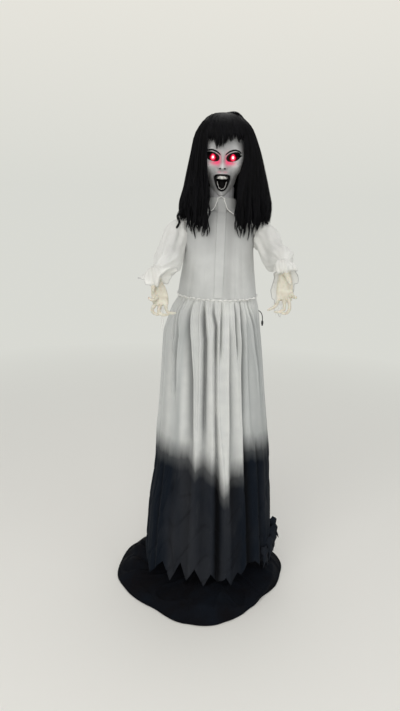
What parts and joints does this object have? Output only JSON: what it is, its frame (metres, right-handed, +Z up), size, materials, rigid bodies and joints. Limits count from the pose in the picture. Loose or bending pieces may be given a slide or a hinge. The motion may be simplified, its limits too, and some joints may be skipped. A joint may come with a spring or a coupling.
{
  "type": "animated ghost figure",
  "caption": "Standing animated figure of a long-haired ghost girl in a tattered floor-length dress, on a hidden pole stand, with a turning waist and head and posable arms.",
  "frame": {"origin": "on the floor, on the axis of the pole, at the underside of the base's hub", "axes": "+Z up the pole, the figure faces -Y, its own left side is at +X"},
  "size_m": [0.5643, 0.5898, 1.5165],
  "materials": {
    "black_plastic": "fine moulded grain",
    "cord_jacket": "smooth, slightly glossy",
    "grey_plastic": "moulded, matt",
    "white_plastic": "smooth",
    "steel": "plain",
    "painted_steel": "black powder coat",
    "rubber": "matt",
    "white_cloth": "thin woven cloth; the sleeves are sheer",
    "skirt_cloth": "thin woven cloth dyed from white at the top to near black at the hem",
    "black_cloth": "matt black knit",
    "mask_skin": "painted mid grey, soft satin",
    "hand_skin": "ivory vinyl, soft satin",
    "hair": "straight black fibre",
    "red_lens": "clear red, lit from behind",
    "tooth": "painted white",
    "nylon": "natural nylon",
    "circuit": "green lacquer"
  },
  "bodies": {
    "stand": {"base_hub": "black_plastic", "leg_left": "painted_steel", "leg_right": "painted_steel", "leg_front": "painted_steel", "leg_rear": "painted_steel", "foot_cap_left": "rubber", "foot_cap_right": "rubber", "foot_cap_front": "rubber", "foot_cap_rear": "rubber", "base_cover": "black_cloth", "pole_lower": "painted_steel", "pole_upper": "painted_steel", "waist_gear": "nylon"},
    "torso": {"waist_case_lower": "black_plastic", "waist_case_upper": "black_plastic", "waist_motor": "steel", "spine_tube": "painted_steel", "shoulder_bar": "black_plastic", "neck_case_lower": "black_plastic", "neck_case_upper": "black_plastic", "neck_motor": "steel", "chest_front": "grey_plastic", "chest_rear": "grey_plastic", "bodice": "white_cloth", "collar": "white_cloth", "skirt": "skirt_cloth", "control_box": "black_plastic", "control_panel": "black_plastic", "battery_1": "steel", "battery_2": "steel", "battery_3": "steel", "circuit_board": "circuit", "speaker": "grey_plastic", "lead_eyelet": "steel", "lead_cord": "cord_jacket", "lead_connector": "black_plastic"},
    "waist_pinion": {"waist_pinion": "nylon"},
    "neck_pinion": {"neck_pinion": "nylon"},
    "battery_door": {"battery_door": "black_plastic"},
    "power_switch": {"power_switch": "white_plastic"},
    "head": {"neck_gear": "nylon", "head_mount": "grey_plastic", "face_shell": "mask_skin", "skull_shell": "mask_skin", "eye_lens_left": "red_lens", "eye_lens_right": "red_lens", "eye_light_board": "circuit", "mouth_liner": "black_plastic", "upper_teeth": "tooth", "lower_teeth": "tooth", "neck_skin": "mask_skin", "wig_cap": "hair", "hair_left": "hair", "hair_right": "hair"},
    "arm_left": {"arm_rod_left": "steel", "sleeve_left": "white_cloth", "hand_left": "hand_skin"},
    "arm_right": {"arm_rod_right": "steel", "sleeve_right": "white_cloth", "hand_right": "hand_skin"}
  },
  "joints": [
    {"name": "waist_twist", "type": "hinge", "parent": "stand", "child": "torso", "pos_m": [0, 0, 0.9], "axis": [0, 0, 1], "range_deg": [-18, 18]},
    {"name": "head_turn", "type": "hinge", "parent": "torso", "child": "head", "pos_m": [0, 0, 1.2], "axis": [0, 0, 1], "range_deg": [-30, 30], "deforming": ["hair_left", "hair_right"]},
    {"name": "left_shoulder", "type": "hinge", "parent": "torso", "child": "arm_left", "pos_m": [0.1, 0, 1.172], "axis": [-1, 0, 0], "range_deg": [-20, 40]},
    {"name": "right_shoulder", "type": "hinge", "parent": "torso", "child": "arm_right", "pos_m": [-0.1, 0, 1.172], "axis": [-1, 0, 0], "range_deg": [-12, 48]},
    {"name": "waist_pinion_spin", "type": "hinge", "parent": "torso", "child": "waist_pinion", "pos_m": [0, 0.027, 0.9], "axis": [0, 0, 1], "range_deg": [-54, 54]},
    {"name": "neck_pinion_spin", "type": "hinge", "parent": "torso", "child": "neck_pinion", "pos_m": [0, 0.027, 1.19], "axis": [0, 0, 1], "range_deg": [-90, 90]},
    {"name": "door_slide", "type": "slide", "parent": "torso", "child": "battery_door", "axis": [0, 0, 1], "range_m": [0, 0.045]},
    {"name": "switch_slide", "type": "slide", "parent": "torso", "child": "power_switch", "axis": [0, 0, 1], "range_m": [0, 0.004]}
  ],
  "couplings": [
    {"joint": "waist_pinion_spin", "follows": "waist_twist", "ratio": 3},
    {"joint": "neck_pinion_spin", "follows": "head_turn", "ratio": -3}
  ]
}
